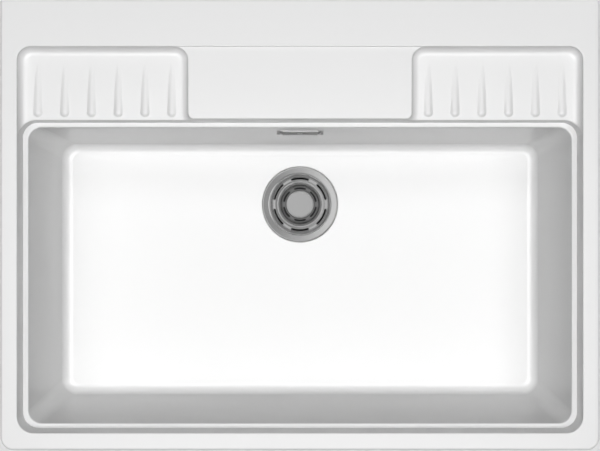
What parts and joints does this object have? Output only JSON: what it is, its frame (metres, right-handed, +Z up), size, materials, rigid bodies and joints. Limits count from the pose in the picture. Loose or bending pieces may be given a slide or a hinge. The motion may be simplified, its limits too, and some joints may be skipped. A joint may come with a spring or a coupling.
{
  "type": "kitchen sink with drainboard",
  "caption": "White fireclay kitchen sink: large bowl, tap ledge between ribbed draining recesses, overflow, and a lift-out basket strainer with its waste body and overflow pipe.",
  "frame": {"origin": "centre of the footprint, on the plane where the skirt stands on its cabinet", "axes": "+Z up, +Y towards the wall behind the sink, +X along the sink to the user's right"},
  "size_m": [0.8, 0.6, 0.291],
  "materials": {
    "glaze": "gloss",
    "steel": "satin",
    "screw_steel": "satin",
    "brass": "satin",
    "waste_plastic": "satin",
    "nut_plastic": "matte",
    "collet_plastic": "satin",
    "rubber": "matte"
  },
  "bodies": {
    "sink": {"sink_body": "glaze", "waste_flange": "steel", "overflow_cover": "steel", "clamp_screw": "screw_steel", "overflow_screw": "screw_steel", "thread_insert": "brass", "overflow_insert": "brass", "waste_body": "waste_plastic", "overflow_body": "waste_plastic", "overflow_pipe": "waste_plastic", "upper_union_nut": "nut_plastic", "lower_union_nut": "nut_plastic", "flange_seal": "rubber", "waste_gasket": "rubber", "overflow_gasket": "rubber", "upper_cone_washer": "rubber", "lower_cone_washer": "rubber"},
    "collet": {"stem_collet": "collet_plastic"},
    "strainer": {"strainer_basket": "steel", "strainer_knob": "steel", "strainer_stem": "nut_plastic", "plug_disc": "nut_plastic", "plug_seal": "rubber"}
  },
  "joints": [
    {"name": "strainer_lift", "type": "slide", "parent": "sink", "child": "collet", "axis": [0, 0, 1], "range_m": [0, 0.05]},
    {"name": "strainer_turn", "type": "hinge", "parent": "collet", "child": "strainer", "pos_m": [0, 0.0285, 0], "axis": [0, 0, 1], "continuous": true}
  ]
}
